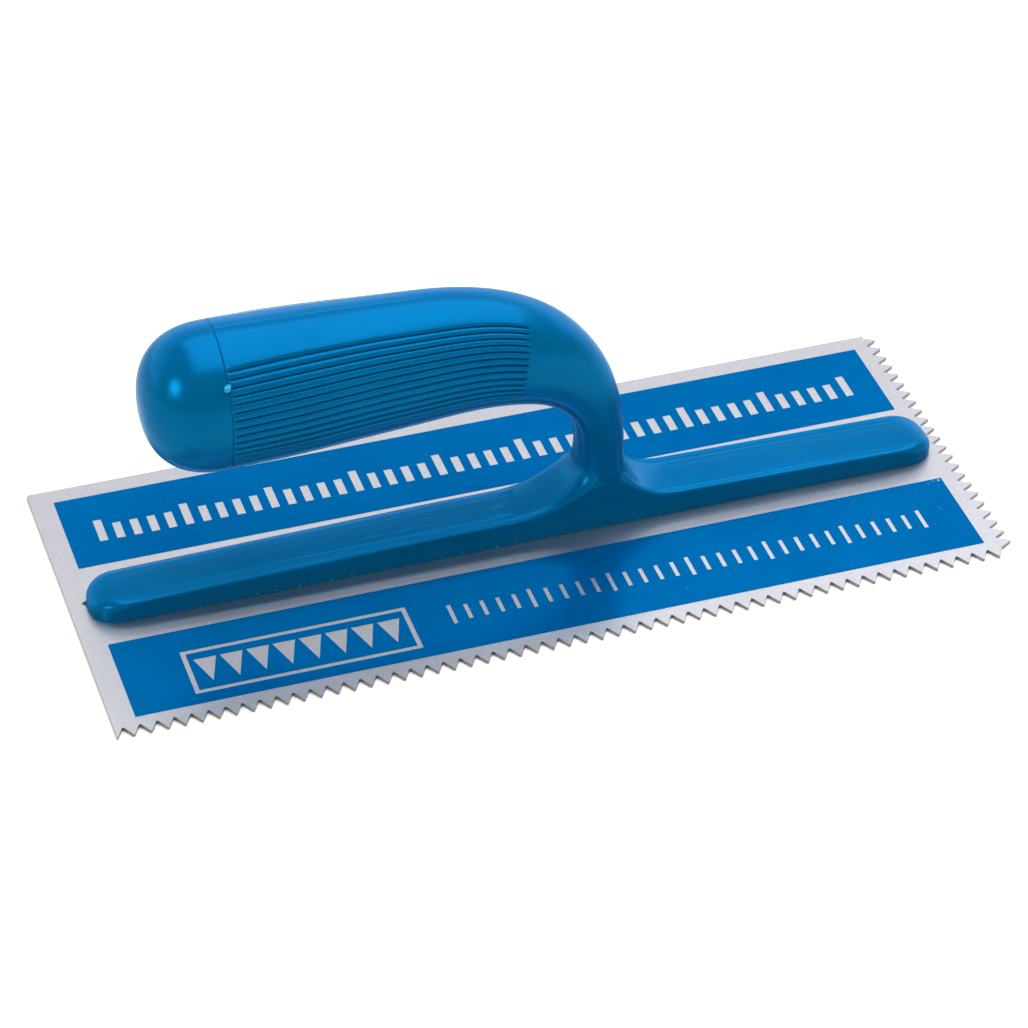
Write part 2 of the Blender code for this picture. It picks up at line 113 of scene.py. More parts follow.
# Crumbs of flash along the foot of the bar's front wall
SPECK_COUNT = 26
SPECK_SPAN = (-0.105, 0.045)

# Bead of cement on the cap's seam: half-sizes, and degrees from the grip's top
BEAD_HALF_SIZES = (0.00100, 0.00090, 0.00300)
BEAD_ANGLE = math.radians(56)
BEAD_BACK = 0.0004

# Post and its feet
POST_X = 0.0258
POST_DEPTH = 0.0142
POST_WIDTH = 0.0200
POST_HEIGHT = 0.0152
POST_SQUARENESS = 2.3
INNER_FOOT = (0.0260, 0.0165)
OUTER_FOOT = (0.0175, 0.0125)
FOOT_SQUARENESS = 16.0
FOOT_CURVE = 2.4
FOOT_STEPS = 34

# Grip
GRIP_LENGTH = 0.0615
GRIP_HEIGHT = 0.0470
GRIP_WIDTH = 0.0402
GRIP_SQUARENESS = 2.0
BEND_REACH = 0.0558
BEND_CURVE = 2.4
BEND_FINENESS = 600
GRIP_TOP_ROOM = 0.00020            # keeps the parting line inside the CAD's height
SEAM_ROUNDING = 0.00014
SEAM_ROUNDING_LENGTH = 0.0004
GRIP_AXIS_Z = HANDLE_HIGH.z - GRIP_HEIGHT / 2
BEND_START_X = POST_X - BEND_REACH
SEAM_X = BEND_START_X - GRIP_LENGTH
BEND_FOOT_Z = BAR_TOP_Z + POST_HEIGHT
BEND_DROP = GRIP_AXIS_Z - BEND_FOOT_Z

# Share of the way from the cap to the post's foot, and of the change in height and in width by then
TAPER = (
    (0.00, 0.00, 0.00),
    (0.13, 0.04, 0.03),
    (0.29, 0.11, 0.26),
    (0.45, 0.21, 0.45),
    (0.59, 0.42, 0.60),
    (0.71, 0.72, 0.78),
    (0.82, 0.95, 0.92),
    (0.91, 1.00, 1.00),
    (1.00, 1.00, 1.00),
)

# Parting line along the grip's top
PARTING_HEIGHT = 0.00019
PARTING_WIDTH = 0.00022
PARTING_RUN_IN = 0.001
PARTING_FADE = (0.050, 0.02)       # distance from the seam, and length of the fade

# Grooves along both flanks
GROOVE_COUNT = 12
GROOVE_DEPTH = 0.00062
GROOVE_HALF_WIDTH = 0.16
RIB_CROWN = 0.00028
# Distance from the seam, and degrees from the grip's top to the first and to the last groove
GROOVE_ANGLES = (
    (0.000, 43.5, 113.5),
    (0.022, 40.5, 113.0),
    (0.045, 40.5, 113.0),
    (0.068, 42.0, 113.5),
    (0.093, 39.5, 113.0),
)
GROOVE_RUN_IN = 0.0016
GROOVE_END_X = -0.0008
GROOVE_END_SLOPE = 0.15
GROOVE_END_SHARPNESS = 0.0010
GROOVE_BORDER = 0.62               # from the outer grooves to the smooth strips, in pitches
GROOVE_SHARES = (-0.5, -0.36, -0.25, -0.18, -0.13, -0.08, -0.03, 0.03, 0.08, 0.13, 0.18, 0.25, 0.36)

# Steps along the grip, each with the distance from the seam up to which it holds
SEAM_STEPS = ((0.0006, 0.00015), (0.004, 0.0005))
FINE_STEP = 0.0005
COARSE_STEP = 0.0014
FINE_REACH = 0.011                 # fine steps are kept this near the grooves' end

# Cap
CAP_LENGTH = 0.0229
CAP_CURVE = 2.45
CAP_WALL = 0.0028
SPIGOT_LENGTH = 0.0110
SPIGOT_WALL = 0.0022
GRIP_WALL = 0.0030
BORE_TAPER = 0.0045
BORE_DEPTH = 0.0735
BORE_END = (0.9, 0.96, 1.0)        # shares of the depth at which its rounded end has a ring
BORE_END_ROUNDING = 0.006
CAP_RIM_X = SEAM_X - GAP * 0.4
CAP_RIM_ROUNDING = ((0.00010, 0.00003), (0.0, 0.00011))
CAP_STEPS = 56
CAP_INNER_STEPS = 12
OVAL_SIDES = 128

# Printed panels
INK_HEIGHT = 0.00002
INK_THICKNESS = 0.00004
REAR_SCALE = {"first": -0.1220, "count": 46, "pitch": 0.0054, "y": 0.0361, "width": 0.0026}
FRONT_SCALE = {"first": -0.0320, "count": 31, "pitch": 0.0050, "y": -0.0361, "width": 0.0013}
REAR_TICKS = (0.0108, 0.0108 * 0.74)    # every fifth tick, and the others
FRONT_TICKS = (0.0090, 0.0070)
FRAME_CENTRE = (-0.0790, -0.0385)
FRAME_LINES = ((0.0690, 0.0200), (0.0660, 0.0170))
TOOTH_COUNT = 8
TOOTH_PITCH = 0.0080
TOOTH_SIZE = (0.0070, 0.0110)

# Wear in the front print, measured from its rear right corner: chips with size and seed, scratches with
# length, turn and width
CHIPS = ((0.0012, 0.0009, 0.0006, 2.0), (0.0048, 0.0016, 0.0003, 5.0), (0.0095, 0.0036, 0.0002, 7.0))
SCRATCHES = (
    (0.0031, 0.0008, 0.0030, -0.2, 0.0003),
    (0.0062, 0.0140, 0.0052, 1.9, 0.00018),
    (0.0026, 0.0042, 0.0034, 2.2, 0.00015),
)
LONE_CHIP = (0.0940, -0.0300, 0.0002, 3.0)
CHIP_POINTS = 9


# ---------------------------------------------------------------- small tools

def smoothstep(share):
    share = min(1.0, max(0.0, share))
    return share * share * (3 - 2 * share)


def mix(a, b, share):
    return a + (b - a) * share


def superellipse(angle, power):
    """Point of the unit superellipse, with angle 0 on its second axis."""
    side = math.sin(angle)
    up = math.cos(angle)
    share = 2 / power
    return math.copysign(abs(side) ** share, side), math.copysign(abs(up) ** share, up)


def read_table(table, column, at):
    """Value of a column of the table, on a smooth curve through its rows."""
    last = len(table) - 1
    row = 0
    while row < last - 1 and at > table[row + 1][0]:
        row += 1
    slopes = []
    for i in (row, row + 1):
        low = table[max(0, i - 1)]
        high = table[min(last, i + 1)]
        slopes.append((high[column] - low[column]) / (high[0] - low[0]))
    here, there = table[row], table[row + 1]
    span = there[0] - here[0]
    t = (at - here[0]) / span
    start = (2 * t**3 - 3 * t**2 + 1) * here[column]
    end = (3 * t**2 - 2 * t**3) * there[column]
    leave = (t**3 - 2 * t**2 + t) * span * slopes[0]
    arrive = (t**3 - t**2) * span * slopes[1]
    return start + end + leave + arrive


def loft(name, rings):
    """A closed mesh through rings of points."""
    shape = bmesh.new()
    loops = [[shape.verts.new(point) for point in ring] for ring in rings]
    count = len(rings[0])
    for near, far in zip(loops, loops[1:]):
        for i in range(count):
            j = (i + 1) % count
            shape.faces.new((near[i], near[j], far[j], far[i]))
    shape.faces.new(loops[0])
    shape.faces.new(loops[-1])
    bmesh.ops.recalc_face_normals(shape, faces=shape.faces)
    mesh = bpy.data.meshes.new(name)
    shape.to_mesh(mesh)
    shape.free()
    return mesh


def shade(mesh):
    mesh.shade_smooth()
    mesh.set_sharp_from_angle(angle=CREASE_ANGLE)


def add_piece(name, data, material, smooth=True):
    piece = bpy.data.objects.new(name, data)
    bpy.context.scene.collection.objects.link(piece)
    data.materials.clear()
    data.materials.append(material)
    if smooth:
        shade(data)
    return piece


def fill_ramp(node, stops):
    """Set a colour ramp's stops, each a position and a colour."""
    elements = node.color_ramp.elements
    while len(elements) < len(stops):
        elements.new(0.5)
    for element, (position, colour) in zip(elements, stops):
        element.position = position
        element.color = (*colour, 1.0)


# ---------------------------------------------------------------- materials

class Nodes:
    """Short calls for building a material's node tree."""

    def __init__(self, name):
        self.material = bpy.data.materials.new(name)
        self.material.use_nodes = True
        self.tree = self.material.node_tree
        self.shader = self.tree.nodes["Principled BSDF"]
        self.place = self.add("ShaderNodeTexCoord").outputs["Object"]

    def add(self, kind, **settings):
        node = self.tree.nodes.new(kind)
        for key, value in settings.items():
            setattr(node, key, value)
        return node

    def link(self, source, target):
        self.tree.links.new(source, target)

    def stretched(self, scale):
        node = self.add("ShaderNodeMapping")
        node.inputs["Scale"].default_value = scale
        self.link(self.place, node.inputs["Vector"])
        return node.outputs["Vector"]

    def noise(self, scale, detail=4.0, roughness=0.5, stretch=None):
        node = self.add("ShaderNodeTexNoise")
        node.inputs["Scale"].default_value = scale
        node.inputs["Detail"].default_value = detail
        node.inputs["Roughness"].default_value = roughness
        self.link(self.stretched(stretch) if stretch else self.place, node.inputs["Vector"])
        return node.outputs["Fac"]

    def specks(self, scale, size):
        """Near 1 in small scattered spots and 0 elsewhere."""
        node = self.add("ShaderNodeTexVoronoi")
        node.inputs["Scale"].default_value = scale
        self.link(self.place, node.inputs["Vector"])
        return self.ramp(node.outputs["Distance"], (size * 0.6, 1.0), (size, 0.0))

    def ramp(self, source, *stops):
        node = self.add("ShaderNodeValToRGB")
        coloured = [(at, value if isinstance(value, tuple) else (value,) * 3) for at, value in stops]
        fill_ramp(node, coloured)
        self.link(source, node.inputs["Fac"])
        return node.outputs["Color"]

    def upright(self):
        """How far the surface faces up or down, whatever its side: 1 on a level face and 0 on a wall."""
        parts = self.add("ShaderNodeSeparateXYZ")
        self.link(self.add("ShaderNodeTexCoord").outputs["Normal"], parts.inputs[0])
        size = self.add("ShaderNodeMath", operation="ABSOLUTE")
        self.link(parts.outputs["Z"], size.inputs[0])
        return size.outputs[0]

    def blend(self, share, a, b):
        node = self.add("ShaderNodeMix", data_type="RGBA")
        for socket, value in ((node.inputs["Factor"], share), (node.inputs["A"], a), (node.inputs["B"], b)):
            if isinstance(value, tuple):
                socket.default_value = (*value, 1.0)
            elif isinstance(value, (int, float)):
                socket.default_value = value
            else:
                self.link(value, socket)
        return node.outputs["Result"]

    def bump(self, height, distance, strength):
        node = self.add("ShaderNodeBump")
        node.inputs["Distance"].default_value = distance
        node.inputs["Strength"].default_value = strength
        self.link(height, node.inputs["Height"])
        return node.outputs["Normal"]

    def set(self, **values):
        for key, value in values.items():
            socket = self.shader.inputs[key.replace("_", " ")]
            if isinstance(value, bpy.types.NodeSocket):
                self.link(value, socket)
            else:
                socket.default_value = (*value, 1.0) if isinstance(value, tuple) else value


def plastic_material():
    """Glossy blue moulding, deeply coloured, with faint flow streaks and an uneven skin."""
    n = Nodes("moulded_blue_plastic")
    cloud = n.ramp(n.noise(38, 3), (0.35, (0.0002, 0.136, 0.305)), (0.68, (0.0003, 0.150, 0.335)))
    streak = n.noise(300, 3, 0.6, (0.04, 1.0, 1.0))
    colour = n.blend(n.ramp(streak, (0.45, 0.0), (0.75, 0.35)), cloud, (0.0002, 0.120, 0.272))
    skin = n.bump(n.noise(240, 2), 0.00003, 0.4)
    n.set(Base_Color=colour, Roughness=n.ramp(n.noise(90, 4), (0.3, 0.21), (0.7, 0.27)), Normal=skin)
    n.set(Metallic=0.28, Specular_IOR_Level=0.06, Specular_Tint=(0.30, 0.60, 0.90))
    return n.material


def ink_material():
    """Glossy screen-printed blue with pinholes and a slight unevenness."""
    n = Nodes("printed_blue_ink")
    cloud = n.ramp(n.noise(26, 3), (0.35, (0.0002, 0.148, 0.370)), (0.68, (0.0003, 0.163, 0.400)))
    spots = n.specks(260, 0.045)
    colour = n.blend(spots, cloud, (0.25, 0.45, 0.62))
    n.set(Base_Color=colour, Roughness=n.ramp(n.noise(60, 4), (0.3, 0.20), (0.7, 0.26)))
    n.set(Metallic=0.60, Specular_IOR_Level=0.0, Specular_Tint=(0.0, 0.45, 0.85))
    n.set(Normal=n.bump(n.noise(90, 2), 0.00002, 0.3))
    return n.material


def steel_material(name, tint, roughness):
    """Ground steel: a fine grain along the plate, faint stains, and painted shade darkening its upright cut
    edges.
    """
    n = Nodes(name)
    # cut is the colour of the painted shade on the plate's upright cut edges
    grained, stained, cut = (tuple(share * part for part in tint) for share in (0.86, 0.92, 0.42))
    grain = n.ramp(n.noise(2600, 3, 0.6, (0.35, 1.0, 1.0)), (0.32, grained), (0.68, tint))
    stain = n.ramp(n.noise(45, 5, 0.6), (0.50, 0.0), (0.80, 0.20))
    # Painted shade: faces that stand upright, the plate's cut edges, get the darker cut colour; level faces
    # keep the grain
    level = n.ramp(n.upright(), (0.35, 0.0), (0.75, 1.0))
    n.set(Base_Color=n.blend(level, cut, n.blend(stain, grain, stained)), Metallic=0.95)
    streaks = n.noise(160, 3, 0.6, (0.3, 1.0, 1.0))
    n.set(Roughness=n.ramp(streaks, (0.3, roughness - 0.012), (0.7, roughness + 0.012)))
    return n.material


def cement_material():
    """Solvent cement, clear and wet over the plastic."""
    n = Nodes("clear_solvent_cement")
    colour = n.ramp(n.noise(900, 2), (0.3, (0.02, 0.36, 0.62)), (0.7, (0.05, 0.55, 0.80)))
    n.set(Base_Color=colour, Roughness=0.12, IOR=1.5, Normal=n.bump(n.noise(2500, 2), 0.00004, 0.6))
    return n.material


def floor_material():
    """Plain warm white sweep."""
    n = Nodes("white_sweep")
    cloud = n.ramp(n.noise(2.0, 2), (0.3, (0.93, 0.92, 0.84)), (0.7, (0.95, 0.94, 0.86)))
    n.set(Base_Color=cloud, Roughness=0.9)
    return n.material


# ---------------------------------------------------------------- handle

def nose_shares(x):
    """How much of its full width, and of its full height, the bar has at one place."""
    from_end = max(0.0, BAR_HALF_LENGTH - abs(x))
    plan = min(1.0, from_end / BAR_NOSE_LENGTH)
    side = min(1.0, from_end / BAR_NOSE_TOP_LENGTH)
    width = (1 - (1 - plan) ** BAR_NOSE_CURVE) ** (1 / BAR_NOSE_CURVE)
    height = BAR_NOSE_WALL + (1 - BAR_NOSE_WALL) * math.sqrt(1 - (1 - side) ** 2)
    return width, height


def bar_edge_sizes(x):
    """Width and fall of the rounded rear edge, broad left of the post, and width of the front edge."""
    start, length = BAR_REAR_CHANGE
    share = smoothstep((x - start) / length)
    width = mix(BAR_REAR_EDGE[0], BAR_REAR_EDGE[1], share)
    fall = mix(BAR_REAR_FALL[0], BAR_REAR_FALL[1], share)
    to_end = smoothstep(1 - (BAR_HALF_LENGTH - abs(x)) / BAR_EDGE_RUN_OUT)
    return width, fall, mix(BAR_FRONT_EDGE, BAR_NOSE_EDGE, to_end)


def ridge_height(x, from_rear):
    """Height of the lengthwise lines near the bar's rear edge: a group left of the post, one lip right."""
    ridges = LEFT_RIDGES if x < POST_X else RIGHT_RIDGES
    total = 0.0
    for place, height, width in ridges:
        wander = 0.0002 * noise.noise(Vector((x * 12, place * 4000, 1.0)))
        total += height * math.exp(-(((from_rear - place - wander) / width) ** 2))
    return total


def bar_top(x, y):
    """Height of the bar's top at one place, without the feet."""
    width_share, height_share = nose_shares(x)
    half = BAR_HALF_WIDTH * width_share
    rise = 1 - min(1.0, max(0.0, abs(x) - POST_X) / (BAR_HALF_LENGTH - POST_X))
    height = mix(BAR_END_HEIGHT, BAR_MIDDLE_HEIGHT, rise) * height_share
    rear_width, rear_fall, front_width = (size * width_share for size in bar_edge_sizes(x))
    fall = BAR_CROWN * width_share * min(1.0, (y / half) ** 2)
    rear = min(1.0, max(0.0, (y - half + rear_width) / rear_width))
    front = min(1.0, max(0.0, (-y - half + front_width) / front_width))
    fall += rear_fall * (1 - math.sqrt(1 - rear * rear))
    fall += front_width * (1 - math.sqrt(1 - front * front))
    drag = noise.noise(Vector((x * 25, y * 1500, 3.0))) + 0.6 * noise.noise(Vector((x * 9, y * 800, 8.0)))
    end_free, end_run = RELIEF_END
    inside = smoothstep((half - abs(y)) / RELIEF_MARGIN)
    inside *= smoothstep((BAR_HALF_LENGTH - abs(x) - end_free) / end_run)
    relief = DRAG_HEIGHT * drag + ridge_height(x, half - y)
    ring_x, ring_y, ring_radius = RING_MARK
    from_ring = math.hypot(x - ring_x, y - ring_y) - ring_radius
    relief += RING_HEIGHT * math.exp(-((from_ring / RING_WIDTH) ** 2))
    return BLADE_TOP + height - fall + relief * inside


def bar_section(x):
    """Upright ring round the bar at one place along it."""
    width_share, _ = nose_shares(x)
    half = BAR_HALF_WIDTH * width_share
    rear_width, _, front_width = (size * width_share for size in bar_edge_sizes(x))
    places = []
    for i in range(BAR_REAR_STEPS + 1):
        places.append(half - rear_width * (1 - math.cos(math.pi / 2 * i / BAR_REAR_STEPS)))
    flat_start, flat_end = half - rear_width, -half + front_width
    for i in range(1, BAR_TOP_STEPS):
        places.append(mix(flat_start, flat_end, i / BAR_TOP_STEPS))
    for i in range(BAR_FRONT_STEPS + 1):
        places.append(-half + front_width * (1 - math.sin(math.pi / 2 * i / BAR_FRONT_STEPS)))
    ring = [Vector((x, half, mix(BAR_BASE_Z, bar_top(x, half), i / 5))) for i in range(5)]
    ring += [Vector((x, y, bar_top(x, y))) for y in places]
    ring += [Vector((x, -half, mix(bar_top(x, -half), BAR_BASE_Z, i / 5))) for i in range(1, 6)]
    ring += [Vector((x, mix(-half, half, i / 6), BAR_BASE_Z)) for i in range(1, 6)]
    return ring


def bar_stations():
    """Places along the bar that get a ring, closer together at the noses and round the ring mark."""
    flat_half = BAR_HALF_LENGTH - BAR_NOSE_LENGTH
    places = []
    for i in range(1, BAR_NOSE_STEPS + 1):
        turn = math.pi / 2 * (i + 0.6) / (BAR_NOSE_STEPS + 0.6)
        places.append(BAR_HALF_LENGTH - BAR_NOSE_LENGTH * (1 - math.cos(turn)))
    places += [flat_half * (i + 0.5) / BAR_HALF_STEPS for i in range(BAR_HALF_STEPS)]
    ring_x, _, ring_radius = RING_MARK
    around_ring = [ring_x + ring_radius * 1.5 * (i / 8 - 1) for i in range(17)]
    return sorted([-x for x in places] + places + around_ring)


def section_angles(along):
    """Angle round a grip section from its top, how deep in a groove it is, and how far up a rib's crown."""
    reach = min(along, GROOVE_ANGLES[-1][0])
    first, last = (math.radians(read_table(GROOVE_ANGLES, column, reach)) for column in (1, 2))
    pitch = (last - first) / (GROOVE_COUNT - 1)
    flank = []
    for i in range(GROOVE_COUNT):
        for part in GROOVE_SHARES:
            depth = smoothstep(1 - abs(part) / GROOVE_HALF_WIDTH)
            crown = (1 - math.cos(2 * math.pi * part)) / 2
            flank.append((first + pitch * (i + part), depth, crown))
    edge = first - pitch * GROOVE_BORDER
    under_edge = last + pitch * GROOVE_BORDER
    spread = [2 * edge * i / 51 - edge for i in range(52)]
    at_parting = [PARTING_WIDTH / GRIP_WIDTH * (i - 6.3) * 0.8 for i in range(14)]
    top = [(angle, 0.0, 0.0) for angle in sorted(spread + at_parting)]
    under = [(mix(under_edge, 2 * math.pi - under_edge, i / 40), 0.0, 0.0) for i in range(41)]
    mirrored = [(2 * math.pi - angle, depth, crown) for angle, depth, crown in reversed(flank)]
    return top + flank + under + mirrored


def bend_points():
    """Points (distance from the seam, x, z) close together along the centre line of the bend."""
    points = [(GRIP_LENGTH, BEND_START_X, GRIP_AXIS_Z)]
    for i in range(1, BEND_FINENESS + 1):
        side, up = superellipse(math.pi / 2 * i / BEND_FINENESS, BEND_CURVE)
        x = BEND_START_X + BEND_REACH * side
        z = BEND_FOOT_Z + BEND_DROP * up
        travelled, old_x, old_z = points[-1]
        points.append((travelled + math.hypot(x - old_x, z - old_z), x, z))
    return points


def path_point(along, bend):
    """Point (x, z) of the grip's centre line and its direction, at a distance from the seam."""
    if along <= GRIP_LENGTH:
        return (SEAM_X + along, GRIP_AXIS_Z), (1.0, 0.0)
    i = 1
    while i < BEND_FINENESS and bend[i][0] < along:
        i += 1
    near, far = bend[i - 1], bend[i]
    step = far[0] - near[0]
    share = (along - near[0]) / step
    place = (mix(near[1], far[1], share), mix(near[2], far[2], share))
    return place, ((far[1] - near[1]) / step, (far[2] - near[2]) / step)


def grip_section(along, way, bend):
    """Ring round the grip or the bend, square to the centre line, with its grooves and parting line."""
    (x, z), (dir_x, dir_z) = path_point(along, bend)
    share = along / way
    edge = SEAM_ROUNDING * (1 - smoothstep(along / SEAM_ROUNDING_LENGTH))
    half_height = GRIP_HEIGHT / 2 + (POST_DEPTH - GRIP_HEIGHT) / 2 * read_table(TAPER, 1, share)
    half_height -= GRIP_TOP_ROOM + edge
    half_width = GRIP_WIDTH / 2 + (POST_WIDTH - GRIP_WIDTH) / 2 * read_table(TAPER, 2, share) - edge
    power = mix(GRIP_SQUARENESS, POST_SQUARENESS, smoothstep(share))
    run_in = smoothstep(along / GROOVE_RUN_IN)
    fade_start, fade_length = PARTING_FADE
    parting = PARTING_HEIGHT * smoothstep(along / PARTING_RUN_IN)
    parting *= 1 - smoothstep((along - fade_start) / fade_length)
    ring = []
    for angle, valley, crown in section_angles(along):
        side, up = superellipse(angle, power)
        here_x = x - dir_z * up * half_height
        here_z = z + dir_x * up * half_height
        end = GROOVE_END_X + (here_z - GRIP_AXIS_Z) * GROOVE_END_SLOPE
        run = run_in * smoothstep((end - here_x) / GROOVE_END_SHARPNESS + 0.5)
        sink = run * (GROOVE_DEPTH * valley - RIB_CROWN * crown)
        sink -= parting * math.exp(-((math.sin(angle / 2) * half_width * 2 / PARTING_WIDTH) ** 2))
        across = side * (half_width - sink)
        rise = up * (half_height - sink)
        ring.append(Vector((x - dir_z * rise, across, z + dir_x * rise)))
    return ring


def foot_section(share, angles):
    """Ring round the foot of the post, level at its top and lying on the bar's top at its end."""
    above = POST_HEIGHT * (1 - share)

    def spread(foot):
        reach, height = foot
        drop = min(1.0, max(0.0, (height - above) / height))
        return reach * (1 - (1 - drop**FOOT_CURVE) ** (1 / FOOT_CURVE))

    inner = POST_DEPTH / 2 + spread(INNER_FOOT)
    outer = POST_DEPTH / 2 + spread(OUTER_FOOT)
    low = smoothstep(share)
    half_width = mix(POST_WIDTH / 2, BAR_HALF_WIDTH - 0.00003, low)
    power = mix(POST_SQUARENESS, FOOT_SQUARENESS, low**3)
    ring = []
    for angle, _, _ in angles:
        side, up = superellipse(angle, power)
        x = POST_X + up * (outer if up > 0 else inner)
        y = side * half_width
        sunk = (BAR_TOP_Z - bar_top(x, y)) * share * share
        ring.append(Vector((x, y, BAR_TOP_Z + above - sunk)))
    return ring


def grip_step(along, bend):
    """Distance to the next ring of the grip: short at the seam and near the end of the grooves."""
    for reach, step in SEAM_STEPS:
        if along < reach:
            return step
    (x, _), _ = path_point(along, bend)
    return FINE_STEP if abs(x - GROOVE_END_X) < FINE_REACH else COARSE_STEP


def handle_rings():
    """All rings of the handle from the cap's seam to the foot, which dips into the bar."""
    bend = bend_points()
    end = bend[-1][0]
    way = end + POST_HEIGHT
    angles = section_angles(end)
    along = 0.0
    places = []
    while along < end - 0.0008:
        places.append(along)
        along += grip_step(along, bend)
    rings = [grip_section(place, way, bend) for place in places]
    rings += [foot_section(math.sin(math.pi / 2 * i / FOOT_STEPS), angles) for i in range(FOOT_STEPS + 1)]
    rings.append([point - Vector((0, 0, 0.00004)) for point in rings[-1]])
    rings.append([Vector((mix(POST_X, p.x, 0.9), p.y * 0.9, p.z - 0.0025)) for p in rings[-1]])
    return rings


def bore_half_sizes(depth):
    """Half the width and half the height of the grip's bore at a depth from the seam."""
    draft = BORE_TAPER * depth / BORE_DEPTH
    return GRIP_WIDTH / 2 - GRIP_WALL - draft, GRIP_HEIGHT / 2 - GRIP_WALL - draft


def oval_ring(x, half_width, half_height):
    """Ring square to the grip's straight part, centred on its axis."""
    ring = []
    for i in range(OVAL_SIDES):
        angle = 2 * math.pi * i / OVAL_SIDES
        ring.append(Vector((x, math.sin(angle) * half_width, GRIP_AXIS_Z + math.cos(angle) * half_height)))
    return ring


def boolean(thing, tool, operation):
    modifier = thing.modifiers.new(operation.lower(), "BOOLEAN")
    modifier.operation = operation
    modifier.object = tool
    modifier.solver = "EXACT"


def apply_modifiers(thing):
    """The thing's mesh with its modifiers applied."""
    evaluated = thing.evaluated_get(bpy.context.evaluated_depsgraph_get())
    mesh = bpy.data.meshes.new_from_object(evaluated)
    thing.modifiers.clear()
    thing.data = mesh
    return mesh


def make_handle(material):
    """Grip, bend, post and bar as one moulding, with the grip's bore."""
    handle = add_piece("moulded_handle", loft("moulded_handle", handle_rings()), material)
    bar = add_piece("bar_blank", loft("bar_blank", [bar_section(x) for x in bar_stations()]), material)
    rings = [oval_ring(SEAM_X - 0.002, *bore_half_sizes(0.0)), oval_ring(SEAM_X, *bore_half_sizes(0.0))]
    for share in BORE_END:
        width, height = bore_half_sizes(BORE_DEPTH * share)
        shrink = BORE_END_ROUNDING * ((share - BORE_END[0]) / (1 - BORE_END[0])) ** 2
        rings.append(oval_ring(SEAM_X + BORE_DEPTH * share, width - shrink, height - shrink))
    bore = add_piece("bore_blank", loft("bore_blank", rings), material)
    boolean(handle, bar, "UNION")
    boolean(handle, bore, "DIFFERENCE")
    bpy.context.view_layer.update()
    mesh = apply_modifiers(handle)
    for tool in (bar, bore):
        bpy.data.objects.remove(tool, do_unlink=True)
    shade(mesh)
    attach(handle, "root")
    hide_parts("handle")


def make_cap(material):
    """Domed cap with a softened rim and its sleeve inside the grip."""
    half_width, half_height = GRIP_WIDTH / 2, GRIP_HEIGHT / 2 - GRIP_TOP_ROOM
    rings = []
    for i in range(CAP_STEPS):
        out, round_in = superellipse(math.pi / 2 * (1 - (i + 0.4) / CAP_STEPS), CAP_CURVE)
        x = min(CAP_RIM_X - 0.0003, CAP_RIM_X - CAP_LENGTH * out)
        rings.append(oval_ring(x, half_width * round_in, half_height * round_in))
    for back, inset in CAP_RIM_ROUNDING:
        rings.append(oval_ring(CAP_RIM_X - back, half_width - inset, half_height - inset))
    sleeve_width, sleeve_height = (half - GAP for half in bore_half_sizes(SPIGOT_LENGTH))
    rings.append(oval_ring(CAP_RIM_X, sleeve_width, sleeve_height))
    rings.append(oval_ring(SEAM_X + SPIGOT_LENGTH, sleeve_width, sleeve_height))
    inner_width, inner_height = sleeve_width - SPIGOT_WALL, sleeve_height - SPIGOT_WALL
    rings.append(oval_ring(SEAM_X + SPIGOT_LENGTH, inner_width, inner_height))
    for i in range(CAP_INNER_STEPS):
        out, round_in = superellipse(math.pi / 2 * i / CAP_INNER_STEPS, CAP_CURVE)
        x = CAP_RIM_X - (CAP_LENGTH - CAP_WALL) * out
        rings.append(oval_ring(x, inner_width * round_in, inner_height * round_in))
    cap = add_piece("domed_end_cap", loft("domed_end_cap", rings), material)
    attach(cap, "root")
    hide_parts("grip_end_cap")


# ---------------------------------------------------------------- printed panels

def box_mark(x, y, width, height):
    """A rectangle, centred."""
    low_x, high_x = x - width / 2, x + width / 2
    low_y, high_y = y - height / 2, y + height / 2
    return [(low_x, low_y), (high_x, low_y), (high_x, high_y), (low_x, high_y)]


def tooth_mark(x, y, width, height):
    """A triangle pointing to the front."""
    return [(x - width / 2, y + height / 2), (x, y - height / 2), (x + width / 2, y + height / 2)]


def tick_marks(scale, heights, on_base_line):
    """A scale's ticks, every fifth one tall, centred on one line or all standing on one."""
    tall, short = heights
    marks = []
    for i in range(scale["count"]):
        height = short if i % 5 else tall
        drop = (tall - height) / 2 if on_base_line else 0.0
        marks.append(box_mark(scale["first"] + scale["pitch"] * i, scale["y"] - drop, scale["width"], height))
    return marks


def scratch(x, y, length, turn, width):
    """A thin pointed cut through the print."""
    along = Vector((math.cos(turn), math.sin(turn))) * length / 2
    across = Vector((-math.sin(turn), math.cos(turn))) * width / 2
    middle = Vector((x, y))
    corners = (middle - along, middle - across, middle + along, middle + across)
    return [(corner.x, corner.y) for corner in corners]


def chip(x, y, size, seed):
    """A small ragged hole in the print."""
    outline = []
    for i in range(CHIP_POINTS):
        angle = 2 * math.pi * i / CHIP_POINTS
        radius = size * (0.75 + 0.5 * noise.noise(Vector((seed, i * 1.7, 0.3))))
        outline.append((x + radius * math.cos(angle), y + radius * math.sin(angle)))
    return outline


